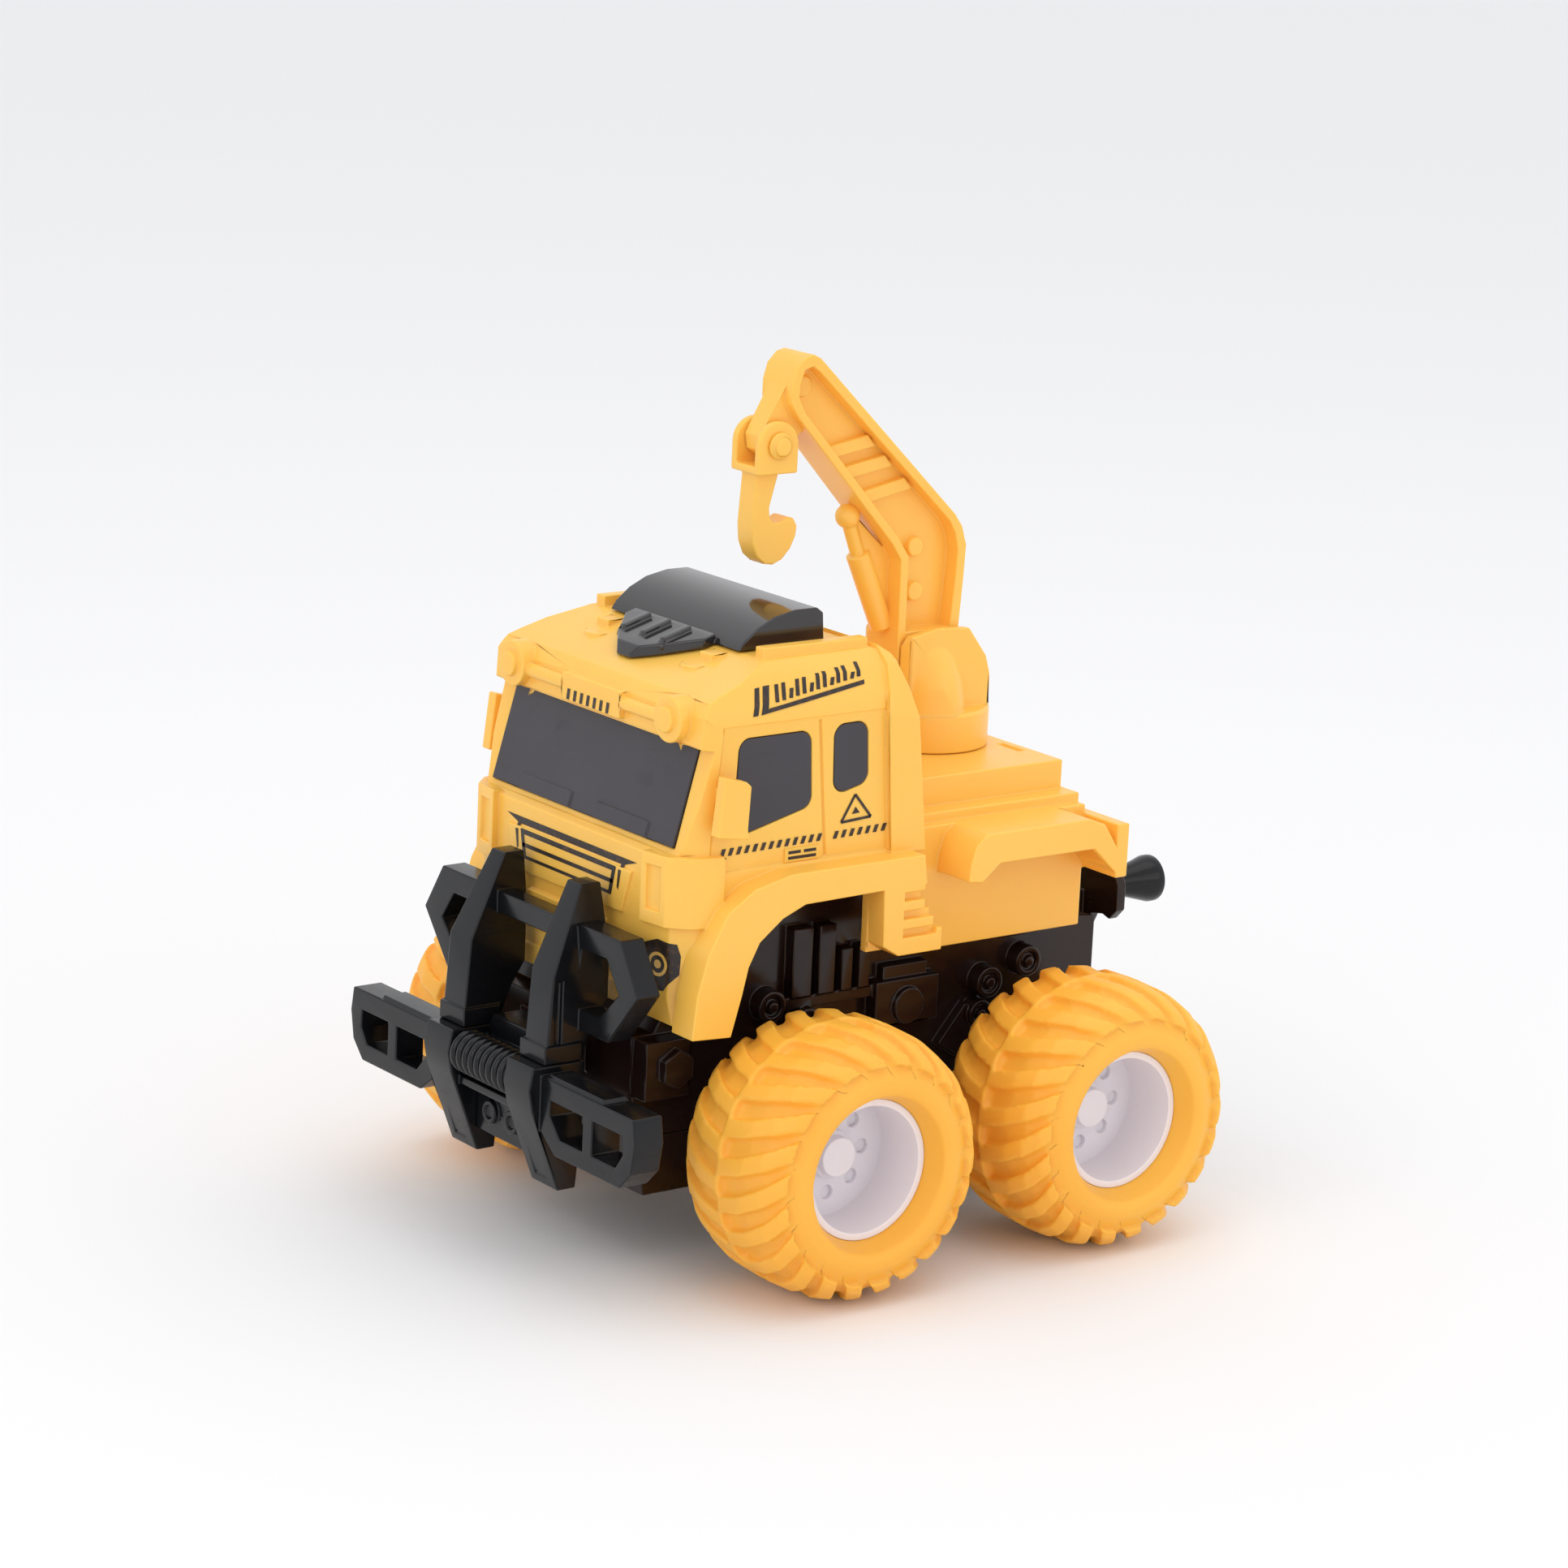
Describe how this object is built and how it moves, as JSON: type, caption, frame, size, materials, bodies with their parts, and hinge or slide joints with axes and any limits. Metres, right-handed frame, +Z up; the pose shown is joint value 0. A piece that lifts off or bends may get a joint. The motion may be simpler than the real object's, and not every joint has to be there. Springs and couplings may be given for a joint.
{
  "type": "toy crane truck",
  "caption": "Toy crane truck with big off-road wheels, a friction-driven rear axle and a swinging roof-height crane with a hook.",
  "frame": {"origin": "on the floor under the middle of the truck's length and width", "axes": "+Z up, front of the truck towards -Y, the truck's own left side towards +X"},
  "size_m": [0.1236, 0.158, 0.16],
  "materials": {
    "body_yellow": "satin moulded",
    "dark_window": "satin",
    "black_gloss": "gloss",
    "black_trim": "semi-gloss",
    "chassis_brown": "semi-gloss",
    "tyre_orange": "matt soft vinyl",
    "rim_white": "satin",
    "gear_white": "natural acetal",
    "steel": "plated"
  },
  "bodies": {
    "base": {"body_screw_1": "steel", "body_screw_2": "steel", "body_screw_3": "steel", "body_screw_4": "steel", "bull_bar": "black_trim", "cab_shell": "body_yellow", "chassis": "chassis_brown", "chassis_cover": "chassis_brown", "cover_screw_1": "steel", "cover_screw_2": "steel", "cover_screw_3": "steel", "cover_screw_4": "steel", "cover_screw_5": "steel", "cover_screw_6": "steel", "front_bumper": "black_trim", "motor_case_left": "gear_white", "motor_case_right": "gear_white", "motor_screw_1": "steel", "motor_screw_2": "steel", "rear_body": "body_yellow", "roof_pod": "black_gloss", "side_glass_left": "dark_window", "side_glass_right": "dark_window", "tow_hitch": "black_trim", "winch_drum": "black_trim", "windscreen": "dark_window"},
    "front_wheels": {"front_axle": "steel", "rim_front_left": "rim_white", "rim_front_right": "rim_white", "tyre_front_left": "tyre_orange", "tyre_front_right": "tyre_orange"},
    "rear_wheels": {"drive_gear": "gear_white", "rear_axle": "steel", "rim_rear_left": "rim_white", "rim_rear_right": "rim_white", "tyre_rear_left": "tyre_orange", "tyre_rear_right": "tyre_orange"},
    "idler": {"idler_gear": "gear_white", "idler_shaft": "steel"},
    "flywheel_set": {"flywheel": "steel", "flywheel_pinion": "gear_white", "flywheel_shaft": "steel"},
    "turret_set": {"boom_pin": "body_yellow", "turret": "body_yellow", "turret_retainer": "body_yellow", "turret_screw": "steel"},
    "boom_set": {"boom": "body_yellow"},
    "hook_set": {"hook": "body_yellow", "hook_pin": "body_yellow"}
  },
  "joints": [
    {"name": "rear_axle_spin", "type": "hinge", "parent": "base", "child": "rear_wheels", "pos_m": [0, 0.0248, 0.025], "axis": [1, 0, 0], "continuous": true},
    {"name": "front_axle_spin", "type": "hinge", "parent": "base", "child": "front_wheels", "pos_m": [0, -0.0337, 0.025], "axis": [1, 0, 0], "continuous": true},
    {"name": "idler_spin", "type": "hinge", "parent": "base", "child": "idler", "pos_m": [0, 0.01904, 0.03268], "axis": [1, 0, 0], "continuous": true},
    {"name": "flywheel_spin", "type": "hinge", "parent": "base", "child": "flywheel_set", "pos_m": [0, 0.01328, 0.04036], "axis": [1, 0, 0], "continuous": true},
    {"name": "turret_swing", "type": "hinge", "parent": "base", "child": "turret_set", "pos_m": [0, 0.0197, 0.0845], "axis": [0, 0, 1], "continuous": true},
    {"name": "boom_lift", "type": "hinge", "parent": "turret_set", "child": "boom_set", "pos_m": [0, 0.0157, 0.0995], "axis": [1, 0, 0], "range_deg": [-35, 3]},
    {"name": "hook_swing", "type": "hinge", "parent": "boom_set", "child": "hook_set", "pos_m": [0, -0.0204, 0.1438], "axis": [1, 0, 0], "range_deg": [-55, 20]}
  ],
  "couplings": [
    {"joint": "idler_spin", "follows": "rear_axle_spin", "ratio": -3},
    {"joint": "flywheel_spin", "follows": "rear_axle_spin", "ratio": 9}
  ]
}
